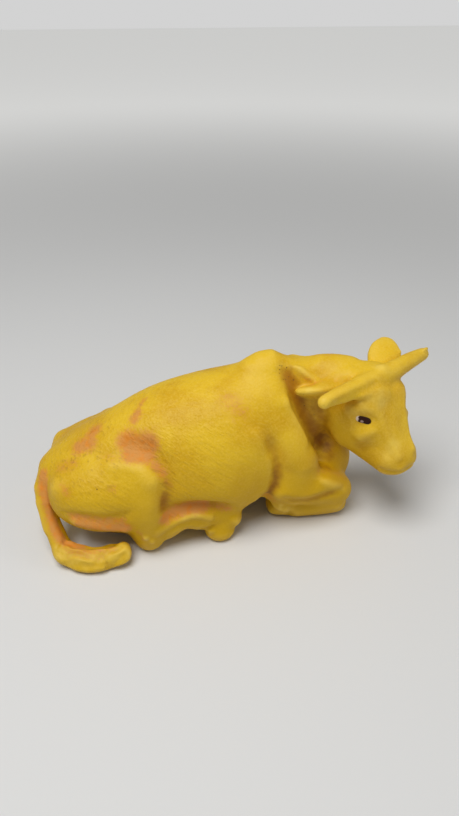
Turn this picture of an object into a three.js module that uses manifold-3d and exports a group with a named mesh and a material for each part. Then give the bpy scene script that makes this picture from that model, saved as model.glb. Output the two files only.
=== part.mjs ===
// A small moulded toy of a cow lying down with its legs folded and its head turned to its right.
// Millimetres, +Z up. The table top is z = 0, +X points from tail to chest and -Y is the cow's right side.
// The real toy is one solid moulding, so each mesh here is one mass of that moulding, such as a horn or
// a haunch, and a small gap parts it from the next.

import * as THREE from "three";
import { LoftGeometry } from "three/addons/geometries/LoftGeometry.js";
import { mergeVertices } from "three/addons/utils/BufferGeometryUtils.js";
import Module from "manifold-3d";

const wasm = await Module();
wasm.setup();

// Driving dimensions

const SEAM = 0.3; // gap between neighbouring masses
const RIGHT = -1;
const LEFT = 1;
const CORNERS = { trunk: 28, large: 20, medium: 16, limb: 14, slender: 12 }; // corners round a section

// Torso sections from tail to chest: place along the back, heights of belly and spine, and half the width.
const TORSO = {
  tailEnd: { x: -36.2, bottom: 8.5, top: 16.5, half: 4.5 },
  rump: { x: -32.5, bottom: 4.1, top: 19.5, half: 8.5 },
  loin: { x: -25, bottom: 0.1, top: 23.2, half: 11.2 },
  flank: { x: -15, bottom: -0.8, top: 28.3, half: 12.6 },
  barrel: { x: -5, bottom: 0.2, top: 30.6, half: 13.6 },
  girth: { x: 3, bottom: 3.6, top: 31.7, half: 12.4 },
  withers: { x: 9, bottom: 7.5, top: 33.0, half: 9.0 },
  chest: { x: 14.5, bottom: 11.0, top: 30.0, half: 5.9 },
};
const TORSO_SQUARENESS = 2.25; // 2 is an ellipse, and more fills out its corners
const TORSO_PEAR = 0.13; // how much wider the belly is than the back, as a share of the width

// Hump over the shoulder blades
const WITHERS_HUMP = { x: 8.2, z: 28.8, long: 7.7, half: 5.0, tall: 5.8 };

// Where the head's own frame has its origin, between the horns
const HEAD_AT = { x: 26.3, y: -5.8, z: 30.4 };

// Neck sections, from the shoulders to the back of the head
const NECK = {
  root: { x: 8.5, y: 0.4, z: 22.2, half: 6.4, tall: 10.6 },
  crest: { x: 15.5, y: 0.2, z: 23.7, half: 5.2, tall: 10.7 },
  middle: { x: 20.6, y: -1.0, z: 26.4, half: 4.6, tall: 8.0 },
  nape: { x: HEAD_AT.x - 0.9, y: HEAD_AT.y + 2.2, z: HEAD_AT.z - 2.0, half: 4.6, tall: 5.6 },
};
const BRISKET = { x: NECK.middle.x - 0.4, y: NECK.middle.y - 0.2, z: 9.6, long: 5.4, half: 5.0, tall: 7.2 };

// The head's own frame: +X points towards the nose, +Y to the head's left and +Z out of the forehead.
const HEAD_YAW = -66; // degrees from the body's line, to the cow's right
const HEAD_PITCH = 57; // degrees that the nose points down
const HEAD_TILT = 3; // degrees, positive with the left horn carried higher
const SKULL = {
  poll: { x: -0.6, back: -7.2, front: 2.2, half: 5.3 },
  brow: { x: 4.0, back: -12.2, front: 3.1, half: 7.1 },
  cheek: { x: 8.6, back: -13.4, front: 2.6, half: 6.7 },
  bridge: { x: 12.4, back: -11.2, front: 2.3, half: 4.9 },
  nose: { x: 15.2, back: -7.6, front: 2.6, half: 4.3 },
  lip: { x: 17.0, back: -5.4, front: 2.2, half: 3.8 },
};
const HORN = {
  root: { x: 0.5, out: 1.5, z: 1.3, radius: 1.85 },
  middle: { x: -0.25, out: 7.7, z: 1.6, radius: 1.7 },
  tip: { x: -0.3, out: 13.4, z: 1.3, radius: 1.25 },
};
// The right ear lies back behind its horn, and the left one stands up with its hollow to the front.
const EARS = {
  right: {
    root: { x: -0.2, out: 4.4, z: -3.4, half: 2.5, thick: 1.4 },
    middle: { x: -1.5, out: 8.6, z: -4.4, half: 3.6, thick: 1.1 },
    lobe: { x: -2.4, out: 11.4, z: -5.2, half: 3.1, thick: 0.9 },
    tip: { x: -3.0, out: 13.0, z: -5.6, half: 1.6, thick: 0.65 },
  },
  left: {
    root: { x: -0.6, out: 5.6, z: -2.4, half: 2.9, thick: 1.4 },
    middle: { x: -2.2, out: 7.3, z: -2.8, half: 3.5, thick: 1.2 },
    lobe: { x: -4.0, out: 9.1, z: -3.2, half: 3.0, thick: 1.0 },
    tip: { x: -5.1, out: 10.2, z: -3.5, half: 1.7, thick: 0.7 },
  },
};
// Direction across each ear's leaf
const EAR_SPREAD = { right: { x: 0.05, out: -0.33, z: -0.94 }, left: { x: 0.54, out: 0.72, z: 0.45 } };
const EYE = { x: 6.2, z: 0.4, long: 0.85, tall: 1.3, bulge: 0.85, inset: 1.3 };

// Foreleg landmarks: out is the distance from the body's middle plane.
const SHOULDER = {
  top: { x: 7.4, out: 4.4, z: 29.2, half: 2.4, thick: 2.2 },
  blade: { x: 9.0, out: 7.4, z: 21.0, half: 3.8, thick: 4.1 },
  arm: { x: 10.7, out: 8.2, z: 13.8, half: 4.5, thick: 6.0 },
};
const ELBOW = { x: 8.6, out: SHOULDER.arm.out + 0.4, z: 9.6, radius: 4.4 };
const FOREARM = { x: 15.4, out: ELBOW.out - 0.2, z: 8.8, radius: 4.2 };
const KNEE = { x: 21.0, out: FOREARM.out - 0.6, z: 6.2, radius: 3.4 };
const SHIN_FRONT = { x: KNEE.x + 0.3, out: KNEE.out - 0.2, z: 2.3, radius: 2.5 };
const SHIN_BACK = { x: 11.0, out: SHIN_FRONT.out - 0.6, z: 2.0, radius: 2.2 };
const FORE_HOOF = { x: 9.5, out: SHIN_BACK.out - 1.2, z: 2.4, long: 3.3, half: 2.5, tall: 2.6 };

// Hind leg landmarks
const HAUNCH = { x: -24.0, out: 6.6, z: 12.0, long: 11.9, half: 6.9, tall: 7.5, tilt: 4 };
const STIFLE = { x: -16.8, out: HAUNCH.out + 2.2, z: 16.2, radius: 4.5 };
const SHANK = { x: -18.0, out: HAUNCH.out + 4.0, z: 9.8, radius: 3.9 };
const HOCK = { x: SHANK.x, out: SHANK.out - 0.1, z: 2.7, radius: 3.3 };
const HOCK_FRONT = { x: HOCK.x + 3.4, out: HOCK.out + 0.5, z: 4.5, radius: 2.5 };
const HIND_SHIN = { x: -10.6, out: HOCK.out + 0.1, z: 6.0, radius: 2.6 };
const FETLOCK = { x: -6.4, out: HIND_SHIN.out - 0.2, z: 5.2, radius: 2.6 };
const PASTERN = { x: FETLOCK.x + 4.6, out: FETLOCK.out - 0.2, z: 4.8, radius: 2.4 };
const HIND_HOOF = { x: FETLOCK.x + 2.4, out: FETLOCK.out + 0.1, z: 2.0, long: 3.1, half: 2.7, tall: 2.6 };

// Grooves in the skin: each is cut by a round tool that runs along these places, mostly outside the skin.
const GROOVES = {
  flank: [
    { x: -21.0, out: HAUNCH.out + 2.2, z: 24.2, radius: 3.0 },
    { x: -16.8, out: HAUNCH.out + 4.6, z: 23.2, radius: 3.0 },
    { x: -14.0, out: HAUNCH.out + 7.0, z: 20.0, radius: 2.9 },
    { x: -13.9, out: HAUNCH.out + 7.9, z: 15.0, radius: 2.5 },
    { x: -14.6, out: HAUNCH.out + 7.4, z: 11.0, radius: 2.0 },
  ],
  overShin: [
    { x: -13.6, out: HOCK.out + 2.4, z: 9.8, radius: 1.8 },
    { x: -10.0, out: HOCK.out + 2.4, z: 10.5, radius: 1.8 },
    { x: -6.6, out: HOCK.out + 2.3, z: 10.0, radius: 1.8 },
    { x: -3.6, out: HOCK.out + 1.8, z: 9.2, radius: 1.8 },
  ],
  underThigh: [
    { x: -33.6, out: HAUNCH.out + 4.9, z: 11.3, radius: 1.2 },
    { x: -29.8, out: HAUNCH.out + 6.7, z: 11.2, radius: 1.2 },
    { x: -26.3, out: HAUNCH.out + 7.4, z: 10.8, radius: 1.2 },
    { x: -22.6, out: HAUNCH.out + 7.6, z: 11.2, radius: 1.2 },
  ],
};

// Tail, from the top of the rump, down behind the haunch and forward along the floor
const TAIL = {
  root: { x: TORSO.rump.x - 0.1, y: -0.6, z: TORSO.rump.top - 2.7, half: 2.2, thick: 1.8 },
  bend: { x: TORSO.tailEnd.x - 1.0, y: -2.6, z: 13.2, half: 1.9, thick: 1.6 },
  drop: { x: HAUNCH.x - HAUNCH.long - 0.7, y: -5.8, z: 8.4, half: 1.6, thick: 1.4 },
  heel: { x: -35.2, y: -HAUNCH.out - 2.8, z: 3.8, half: 2.1, thick: 1.8 },
};
const TUFT = {
  root: { x: TAIL.heel.x + 0.8, y: TAIL.heel.y - 1.9, z: TAIL.heel.z - 1.4, half: 2.5, thick: 2.2 },
  middle: { x: -29.6, y: -HAUNCH.out - 7.2, z: 1.8, half: 2.9, thick: 2.3 },
  tip: { x: -23.4, y: -HAUNCH.out - 7.4, z: 2.5, half: 2.5, thick: 1.9 },
};

// Helpers

function place(x, y, z) {
  return new THREE.Vector3(x, y, z);
}

function toSolid(geometry) {
  const bare = new THREE.BufferGeometry().copy(geometry);
  bare.deleteAttribute("normal");
  bare.deleteAttribute("uv");
  const closed = mergeVertices(bare, 1e-4);
  const corners = new Float32Array(closed.attributes.position.array);
  const triangles = new Uint32Array(closed.index.array);
  return new wasm.Manifold(new wasm.Mesh({ numProp: 3, vertProperties: corners, triVerts: triangles }));
}

function toGeometry(solid) {
  const mesh = solid.getMesh();
  const geometry = new THREE.BufferGeometry();
  geometry.setAttribute("position", new THREE.BufferAttribute(mesh.vertProperties, 3));
  geometry.setIndex(new THREE.BufferAttribute(mesh.triVerts, 1));
  geometry.computeVertexNormals();
  return geometry;
}

// An egg-like mass: a ball stretched along, across and up, with its front end tilted up by some degrees.
function ball(at, grow, { long, half, tall, tilt = 0, points = CORNERS.medium }) {
  const geometry = new THREE.SphereGeometry(1, points, Math.round(points * 0.6));
  geometry.scale(long + grow, half + grow, tall + grow);
  geometry.rotateY(THREE.MathUtils.degToRad(-tilt));
  geometry.translate(at.x, at.y, at.z);
  return toSolid(geometry);
}

function ring(centre, across, upward, half, thick, { points, squareness, pear }) {
  const corners = [];
  for (let i = 0; i < points; i += 1) {
    const angle = (2 * Math.PI * i) / points;
    const u = Math.sign(Math.cos(angle)) * Math.abs(Math.cos(angle)) ** (2 / squareness);
    const v = Math.sign(Math.sin(angle)) * Math.abs(Math.sin(angle)) ** (2 / squareness);
    const wide = half * (1 - pear * v);
    corners.push(centre.clone().addScaledVector(across, u * wide).addScaledVector(upward, v * thick));
  }
  return corners;
}

// A limb-like mass: oval rings along a smooth line through the stations, with domed ends.
// Each station has its place, its half width along the side direction and its half thickness.
// The rings are square to the line, or all square to the facing direction where one is given.
function sweep(stations, grow, options) {
  const { side = place(0, 1, 0), facing = null, steps = 3, points = CORNERS.limb } = options;
  const { squareness = 2, pear = 0, dome = 0.9 } = options;
  const line = new THREE.CatmullRomCurve3(stations.map((s) => s.at), false, "catmullrom", 0.5);
  const sizes = new THREE.CatmullRomCurve3(
    stations.map((s) => place(s.half, s.thick, 0)), false, "catmullrom", 0.5);
  const count = steps * (stations.length - 1);
  const rings = [];
  const addRing = (t, reach, shrink) => {
    const tangent = facing ?? line.getTangent(t);
    const upward = tangent.clone().cross(side).normalize();
    const across = upward.clone().cross(tangent);
    const size = sizes.getPoint(t);
    const half = (size.x + grow) * shrink;
    const thick = (size.y + grow) * shrink;
    const out = reach * (Math.min(size.x, size.y) * dome + grow);
    const centre = line.getPoint(t).addScaledVector(tangent, out);
    rings.push(ring(centre, across, upward, half, thick, { points, squareness, pear }));
  };
  for (const degrees of [70, 38]) {
    const angle = THREE.MathUtils.degToRad(degrees);
    addRing(0, -Math.sin(angle), Math.cos(angle));
  }
  for (let i = 0; i <= count; i += 1) {
    addRing(i / count, 0, 1);
  }
  for (const degrees of [38, 70]) {
    const angle = THREE.MathUtils.degToRad(degrees);
    addRing(1, Math.sin(angle), Math.cos(angle));
  }
  return toSolid(new LoftGeometry(rings, { capStart: true, capEnd: true }));
}

// The same landmark on the cow's right or left side
function sided(landmark, side) {
  return place(landmark.x, side * landmark.out, landmark.z);
}

function handOf(side) {
  return side === RIGHT ? "right" : "left";
}

function round(landmark, side) {
  return { at: sided(landmark, side), half: landmark.radius, thick: landmark.radius };
}

function upright(section) {
  const middle = (section.top + section.bottom) / 2;
  return { at: place(section.x, 0, middle), half: section.half, thick: (section.top - section.bottom) / 2 };
}

function along(station) {
  const thick = station.tall ?? station.thick;
  return { at: place(station.x, station.y, station.z), half: station.half, thick };
}

// The head's own directions in the body's frame
const HEAD_TURN = new THREE.Matrix4()
  .makeRotationZ(THREE.MathUtils.degToRad(HEAD_YAW))
  .multiply(new THREE.Matrix4().makeRotationY(THREE.MathUtils.degToRad(HEAD_PITCH)))
  .multiply(new THREE.Matrix4().makeRotationZ(THREE.MathUtils.degToRad(HEAD_TILT)));

function onHead(x, y, z) {
  return place(x, y, z).applyMatrix4(HEAD_TURN).add(place(HEAD_AT.x, HEAD_AT.y, HEAD_AT.z));
}

const HEAD_NOSE = place(1, 0, 0).applyMatrix4(HEAD_TURN);
const HEAD_LEFT = place(0, 1, 0).applyMatrix4(HEAD_TURN);
const HEAD_FRONT = place(0, 0, 1).applyMatrix4(HEAD_TURN);

// Masses of the body

function torso(grow) {
  const stations = Object.values(TORSO).map(upright);
  const shape = { points: CORNERS.trunk, squareness: TORSO_SQUARENESS, pear: TORSO_PEAR, dome: 0.5 };
  const trunk = sweep(stations, grow, { ...shape, facing: place(1, 0, 0) });
  const hump = ball(place(WITHERS_HUMP.x, 0, WITHERS_HUMP.z), grow, WITHERS_HUMP);
  return trunk.add(hump);
}

function brisket(grow) {
  return ball(place(BRISKET.x, BRISKET.y, BRISKET.z), grow, BRISKET);
}

function neck(grow) {
  return sweep(Object.values(NECK).map(along), grow, { points: CORNERS.large, squareness: 2.1 });
}

// Masses of the head

function head(grow) {
  const stations = Object.values(SKULL).map((section) => {
    const at = onHead(section.x, 0, (section.front + section.back) / 2);
    return { at, half: section.half, thick: (section.front - section.back) / 2 };
  });
  const shape = { points: CORNERS.large, steps: 2, squareness: 2.4, dome: 0.6 };
  return sweep(stations, grow, { ...shape, side: HEAD_LEFT, facing: HEAD_NOSE });
}

function horn(side, grow) {
  const stations = Object.values(HORN).map((station) => {
    const at = onHead(station.x, side * station.out, station.z);
    return { at, half: station.radius, thick: station.radius };
  });
  return sweep(stations, grow, { side: HEAD_FRONT, points: CORNERS.slender });
}

function ear(side, grow) {
  const stations = Object.values(EARS[handOf(side)]).map((station) => {
    return { ...station, at: onHead(station.x, side * station.out, station.z) };
  });
  const across = EAR_SPREAD[handOf(side)];
  const spread = place(across.x, side * across.out, across.z).applyMatrix4(HEAD_TURN);
  return sweep(stations, grow, { side: spread, steps: 2 });
}

// The eye sits in from the skull's half width between the brow and the cheek.
function eye(side, grow) {
  const out = (SKULL.brow.half + SKULL.cheek.half) / 2 - EYE.inset;
  const geometry = new THREE.SphereGeometry(1, 12, 8);
  geometry.scale(EYE.long + grow, EYE.bulge + grow, EYE.tall + grow);
  geometry.translate(EYE.x, side * out, EYE.z);
  geometry.applyMatrix4(HEAD_TURN);
  geometry.translate(HEAD_AT.x, HEAD_AT.y, HEAD_AT.z);
  return toSolid(geometry);
}

// Masses of the legs

function foreleg(side, grow) {
  const stations = Object.values(SHOULDER).map((station) => ({ ...station, at: sided(station, side) }));
  const shoulder = sweep(stations, grow, { points: CORNERS.medium, dome: 0.8 });
  const forearm = sweep([round(ELBOW, side), round(FOREARM, side), round(KNEE, side)], grow, {});
  return shoulder.add(forearm);
}

function foreShin(side, grow) {
  return sweep([round(SHIN_FRONT, side), round(SHIN_BACK, side)], grow, {});
}

function foreHoof(side, grow) {
  return ball(sided(FORE_HOOF, side), grow, FORE_HOOF);
}

function haunch(side, grow) {
  return ball(sided(HAUNCH, side), grow, { ...HAUNCH, points: CORNERS.large });
}

function shank(side, grow) {
  return sweep([round(STIFLE, side), round(SHANK, side), round(HOCK, side)], grow, {});
}

function hindShin(side, grow) {
  const landmarks = [HOCK_FRONT, HIND_SHIN, FETLOCK, PASTERN];
  return sweep(landmarks.map((landmark) => round(landmark, side)), grow, {});
}

function hindHoof(side, grow) {
  return ball(sided(HIND_HOOF, side), grow, HIND_HOOF);
}

function tail(grow) {
  return sweep(Object.values(TAIL).map(along), grow, { points: CORNERS.slender, steps: 4 });
}

function tuft(grow) {
  return sweep(Object.values(TUFT).map(along), grow, { side: place(0.5, 1, 0), steps: 4 });
}

// Masses in order: each one gives way, by the seam, to those listed before it.
const MASSES = [{ name: "torso", shape: torso }];
MASSES.push({ name: "head", shape: head });
MASSES.push({ name: "neck", shape: neck });
for (const side of [RIGHT, LEFT]) {
  const hand = handOf(side);
  MASSES.push({ name: `haunch_${hand}`, shape: (grow) => haunch(side, grow) });
  MASSES.push({ name: `hind_shank_${hand}`, shape: (grow) => shank(side, grow) });
  MASSES.push({ name: `hind_hoof_${hand}`, shape: (grow) => hindHoof(side, grow) });
  MASSES.push({ name: `hind_shin_${hand}`, shape: (grow) => hindShin(side, grow) });
  MASSES.push({ name: `foreleg_${hand}`, shape: (grow) => foreleg(side, grow) });
  MASSES.push({ name: `fore_hoof_${hand}`, shape: (grow) => foreHoof(side, grow) });
  MASSES.push({ name: `fore_shin_${hand}`, shape: (grow) => foreShin(side, grow) });
  MASSES.push({ name: `horn_${hand}`, shape: (grow) => horn(side, grow) });
  MASSES.push({ name: `ear_${hand}`, shape: (grow) => ear(side, grow) });
  MASSES.push({ name: `eye_${hand}`, shape: (grow) => eye(side, grow), material: "painted_eye" });
}
MASSES.push({ name: "brisket", shape: brisket });
MASSES.push({ name: "tail", shape: tail });
MASSES.push({ name: "tail_tuft", shape: tuft });

const MATERIALS = {
  yellow_plastic: { color: 0xe0b449, roughness: 0.42, metalness: 0 },
  painted_eye: { color: 0x2a2018, roughness: 0.35, metalness: 0 },
};

// Cutting can leave crumbs beyond a neighbour, so only the largest body is kept.
function largestBody(solid) {
  const bodies = solid.decompose();
  bodies.sort((a, b) => b.volume() - a.volume());
  return bodies[0];
}

function grooves() {
  const tools = [RIGHT, LEFT].flatMap((side) => {
    return Object.values(GROOVES).map((places) => {
      return sweep(places.map((landmark) => round(landmark, side)), 0, { points: CORNERS.slender });
    });
  });
  return wasm.Manifold.union(tools);
}

const GROOVE_TOOLS = grooves();

// Everything below the table top is cut away, which gives the flat underside.
function buildMass(index) {
  let solid = MASSES[index].shape(0).trimByPlane([0, 0, 1], 0);
  for (const earlier of MASSES.slice(0, index)) {
    solid = solid.subtract(earlier.shape(SEAM)).subtract(earlier.shape(0));
  }
  return largestBody(solid.subtract(GROOVE_TOOLS));
}

const figure = new THREE.Group();
figure.name = "figure";
MASSES.forEach((mass, index) => {
  const slot = mass.material ?? "yellow_plastic";
  const material = new THREE.MeshStandardMaterial(MATERIALS[slot]);
  material.name = slot;
  const mesh = new THREE.Mesh(toGeometry(buildMass(index)), material);
  mesh.name = mass.name;
  figure.add(mesh);
});

// The origin is on the table under the middle of the figure.
const extent = new THREE.Box3().setFromObject(figure);
const centre = extent.getCenter(place(0, 0, 0));
figure.position.set(-centre.x, -centre.y, 0);

const cow = new THREE.Group();
cow.name = "lying_cow";
cow.add(figure);

export default cow;
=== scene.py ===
import math

import bpy
import numpy as np
import openvdb
from mathutils import Matrix, Vector


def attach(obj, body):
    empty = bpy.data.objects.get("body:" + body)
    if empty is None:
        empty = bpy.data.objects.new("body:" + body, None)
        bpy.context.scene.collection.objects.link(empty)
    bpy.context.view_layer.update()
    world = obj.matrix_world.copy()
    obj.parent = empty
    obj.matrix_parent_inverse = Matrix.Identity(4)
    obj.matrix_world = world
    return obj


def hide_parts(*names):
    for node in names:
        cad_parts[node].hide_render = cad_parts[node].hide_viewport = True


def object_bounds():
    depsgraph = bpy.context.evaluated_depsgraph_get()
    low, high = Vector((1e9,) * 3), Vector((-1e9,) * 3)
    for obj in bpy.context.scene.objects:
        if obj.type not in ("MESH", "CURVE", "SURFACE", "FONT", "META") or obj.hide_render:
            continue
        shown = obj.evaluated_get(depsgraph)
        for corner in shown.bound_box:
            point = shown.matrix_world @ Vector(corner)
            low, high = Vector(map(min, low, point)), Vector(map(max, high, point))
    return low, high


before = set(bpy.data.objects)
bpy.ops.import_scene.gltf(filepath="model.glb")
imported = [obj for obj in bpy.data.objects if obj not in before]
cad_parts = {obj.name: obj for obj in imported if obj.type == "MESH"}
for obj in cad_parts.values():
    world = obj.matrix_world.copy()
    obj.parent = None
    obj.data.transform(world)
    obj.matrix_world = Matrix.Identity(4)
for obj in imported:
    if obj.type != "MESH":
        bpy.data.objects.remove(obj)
cad_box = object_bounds()

# The skin is worked out in millimetres on a grid of distances, then made into meshes in metres.
VOXEL = 0.25
REACH = 6.0  # how far from a mass its distances are kept
MARGIN = 2.5  # empty room around the figure
MM = 0.001
WELD = 1e4  # corners that are alike to this part of a millimetre are one
SMOOTHING_LOSS = 0.08  # what the smoothing takes off a rounded mass
BODY_SMOOTHING = 0.25  # of the joined body, before the strokes
LAST_SMOOTHING = 0.15  # of the whole figure
RIM_DEPTH = 0.4  # how far the rim of a piece is turned in

# From the animal's own frame, in which the places below are given, to the shared one
SHIFT = np.array([-0.447, 1.1943, 0.0])

# The head's own frame: +X to the nose, +Y to the head's left, +Z out of the forehead
HEAD_AT = np.array([26.3, -5.8, 30.4])
HEAD_TURN = np.array(
    Matrix.Rotation(math.radians(-66), 3, "Z")
    @ Matrix.Rotation(math.radians(57), 3, "Y")
    @ Matrix.Rotation(math.radians(3), 3, "Z"))

# How each mass flows into those before it: the width of the fillet, and how much its facets are smoothed
BODY = [
    ("torso", 0.0, 0.8),
    ("neck", 3.0, 0.8),
    ("haunch_right", 3.4, 0.7),
    ("haunch_left", 3.4, 0.7),
    ("brisket", 2.4, 0.7),
    ("foreleg_right", 2.2, 0.7),
    ("foreleg_left", 2.2, 0.7),
    ("hind_shank_right", 2.4, 0.6),
    ("hind_shank_left", 2.4, 0.6),
    ("hind_shin_right", 1.3, 0.45),
    ("hind_shin_left", 1.3, 0.45),
    ("hind_hoof_right", 1.0, 0.4),
    ("hind_hoof_left", 1.0, 0.4),
    ("fore_shin_right", 1.5, 0.45),
    ("fore_shin_left", 1.5, 0.45),
    ("fore_hoof_right", 0.9, 0.4),
    ("fore_hoof_left", 0.9, 0.4),
    ("head", 1.2, 0.55),
]
# These join after the strokes below, which would otherwise cut them
OUTER = [
    ("horn_right", 1.0, 0.35),
    ("horn_left", 1.0, 0.35),
    ("ear_right", 0.8, 0.3),
    ("ear_left", 1.0, 0.3),
    ("tail", 1.0, 0.4),
    ("tail_tuft", 1.4, 0.4),
]

# Soft strokes that raise or hollow the skin: points in mm, half width, height.
# They are given for the animal's right side and made on both sides.
SWELLS = [
    # Hollow of the flank above the thigh, and the ridge of the thigh below it
    ([(-20.5, -8.2, 22.6), (-17.4, -9.4, 22.6), (-15.2, -11.4, 20.0)], 1.8, -0.3),
    ([(-23.4, -9.2, 19.9), (-19.6, -10.9, 19.9), (-17.2, -12.4, 18.0)], 1.5, 0.5),
    # Pin bone at the back of the thigh
    ([(-34.1, -8.4, 15.6)], 2.0, 0.75),
    # Top of the hind shin
    ([(-16.4, -13.6, 6.2), (-14.0, -13.3, 7.2), (-11.4, -13.2, 8.2), (-8.8, -13.1, 8.5),
      (-6.2, -13.0, 7.4)], 0.8, 0.5),
    # Web of the thigh below its crease
    ([(-31.4, -12.0, 9.6), (-26.8, -13.2, 8.4), (-22.8, -13.4, 7.2)], 1.0, 0.6),
    # Groove between the front of the shoulder and the neck
    ([(10.2, -3.6, 32.6), (11.2, -5.0, 30.6), (12.4, -6.4, 27.6), (14.9, -7.0, 22.6),
      (17.0, -6.0, 18.6), (18.8, -4.8, 15.8)], 1.6, -1.4),
    # Front edge of the shoulder
    ([(9.0, -6.2, 29.8), (10.2, -7.7, 26.6), (12.2, -8.7, 22.0), (14.0, -8.9, 18.6),
      (15.4, -8.6, 15.4)], 1.0, 0.45),
    # Hollow behind the shoulder
    ([(2.0, -9.0, 27.8), (3.8, -10.6, 24.4), (5.4, -11.2, 20.6)], 1.6, -0.35),
    # Elbow, and the upper edge of the forearm
    ([(8.8, -12.4, 12.3), (12.0, -12.2, 12.2)], 1.4, 0.45),
    ([(14.7, -11.5, 12.9), (18, -11.2, 10.6), (21.2, -10.7, 8.0)], 1.0, 0.7),
    # Under the elbow, the heel of the fore hoof, and the knee that lifts off the table
    ([(5.8, -6.1, 2.4)], 1.3, -0.7),
    ([(5.4, -11.4, 7.8), (8.0, -12.4, 6.6)], 1.7, -1.3),
    ([(8.8, -12.2, 5.2)], 1.3, -0.8),
    ([(6.8, -8.4, 2.0), (9.2, -9.8, 2.0)], 1.2, 0.6),
    ([(21.0, -10.4, 0.2), (24.0, -7.6, 0.6)], 1.9, -0.2),
    # Soft hollow between forearm and fore shin, and the shin below it
    ([(8.9, -12.8, 8.8), (11.2, -12.7, 8.1), (13.4, -12.6, 7.8), (16.0, -12.3, 8.2),
      (18.6, -11.9, 8.4), (21.2, -11.0, 8.2)], 1.0, -0.9),
    ([(11.6, -9.2, 3.4), (15.0, -9.9, 3.4), (20.0, -10.2, 3.6)], 1.6, 0.8),
    # Fore hoof, which comes out below the elbow, and its rim
    ([(7.4, -9.2, 4.0), (9.4, -9.9, 3.8)], 1.6, 1.4),
    ([(8.4, -10.8, 5.6), (8.0, -10.2, 3.2)], 0.5, 0.45),
    # Side of the barrel in front of the belly
    ([(3.4, -11.0, 24.0), (4.9, -11.7, 20.0), (5.3, -12.0, 16.0), (5.0, -11.9, 12.6),
      (3.2, -11.2, 9.6)], 1.6, 0.6),
    # Knobs of the hock
    ([(-18.9, -14.3, 5.4)], 0.6, 0.4),
    ([(-17.7, -14.3, 4.2)], 0.6, 0.4),
    # Pastern, round above the hoof
    ([(-1.4, -11.8, 4.4), (-0.8, -10.6, 4.2)], 1.0, 0.9),
    # Fills the recess over the hind shin a little, and lifts the underside of the shin
    ([(-12.8, -11.2, 9.0), (-9.9, -11.2, 9.2), (-6.0, -11.2, 8.6), (-3.4, -11.0, 7.8)], 1.2, 0.5),
    ([(-13.0, -13.2, 3.3), (-11.0, -12.9, 3.9)], 1.2, -0.45),
    # Rim of the hind hoof
    ([(-6.4, -12.4, 3.0), (-4.9, -12.6, 3.9), (-2.6, -12.4, 3.8)], 0.5, 0.35),
]

# Places that are only made smoother: points in mm, half width
SOFTER = [
    # Side of the back up to the hump, and behind the shoulder
    ([(-6.0, -4.2, 30.9), (2.2, -4.2, 31.0), (6.5, -5.4, 31.0), (8.0, -5.6, 30.6)], 2.6),
    ([(3.0, -6.0, 30.0), (3.4, -8.4, 27.8)], 2.8),
    # Elbow, and below it
    ([(8.4, -12.2, 14.0), (11.0, -12.2, 12.6), (13.0, -12.0, 12.6)], 2.8),
    ([(6.4, -11.0, 6.6), (8.4, -11.4, 6.0)], 1.8),
    # Top of the rump
    ([(-31.4, 1.2, 20.4), (-33.2, 1.0, 19.0)], 2.6),
    # Front of the shoulder
    ([(14.6, -9.2, 18.4), (15.8, -9.8, 15.6), (16.0, -10.0, 13.6)], 2.2),
    ([(11.0, -6.6, 27.0), (12.6, -7.2, 23.4), (14.2, -8.4, 19.6)], 1.5),
    # Dip before the neck, and the front of the hump
    ([(11.8, 0.4, 33.7), (14.6, 0.0, 33.6)], 2.3),
    ([(9.8, 0.6, 34.3), (9.8, -1.6, 33.5)], 1.3),
    # Fore shin, the end of the recess over the hind shin, the pastern, and the fore hoof
    ([(11.6, -12.2, 5.8), (16.0, -12.2, 5.8), (20.4, -11.2, 5.8)], 1.7),
    ([(-3.8, -11.6, 9.3), (-1.8, -12.0, 8.4)], 1.6),
    ([(-4.4, -12.5, 4.4), (-2.4, -12.3, 3.9)], 1.5),
    ([(6.6, -8.6, 3.4), (10.0, -8.8, 2.6)], 1.6),
]
# The same for the root of the tail and its bend onto the table
SOFTER_TAIL = [
    ([(-37.0, -1.6, 16.4), (-37.8, -3.4, 14.2)], 1.6),
    ([(-37.8, -10.0, 4.2), (-36.6, -12.6, 2.6), (-34.4, -14.4, 2.0)], 1.6),
]

# Sharp strokes in the form of the soft ones
CREASES = [
    # Under the thigh
    ([(-33.2, -11.2, 11.4), (-29.6, -12.9, 11.3), (-26.2, -13.6, 10.8), (-22.6, -13.9, 11.2),
      (-20.9, -14.1, 12.4)], 0.8, -0.8),
    # Between the barrel and the foreleg
    ([(4.4, -10.4, 24.4), (6.0, -11.2, 21.2), (7.0, -11.8, 17.8), (6.9, -12.0, 13.8),
      (5.2, -11.6, 9.8)], 1.0, -0.9),
    # The notch between fore shin and hoof
    ([(10.4, -11.8, 5.4), (10.9, -10.6, 3.0), (10.9, -9.2, 1.0)], 0.7, -1.1),
    # Between the hind shin and the hoof
    ([(-7.6, -12.6, 4.0), (-5.8, -12.7, 4.5)], 0.5, -0.5),
]

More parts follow.
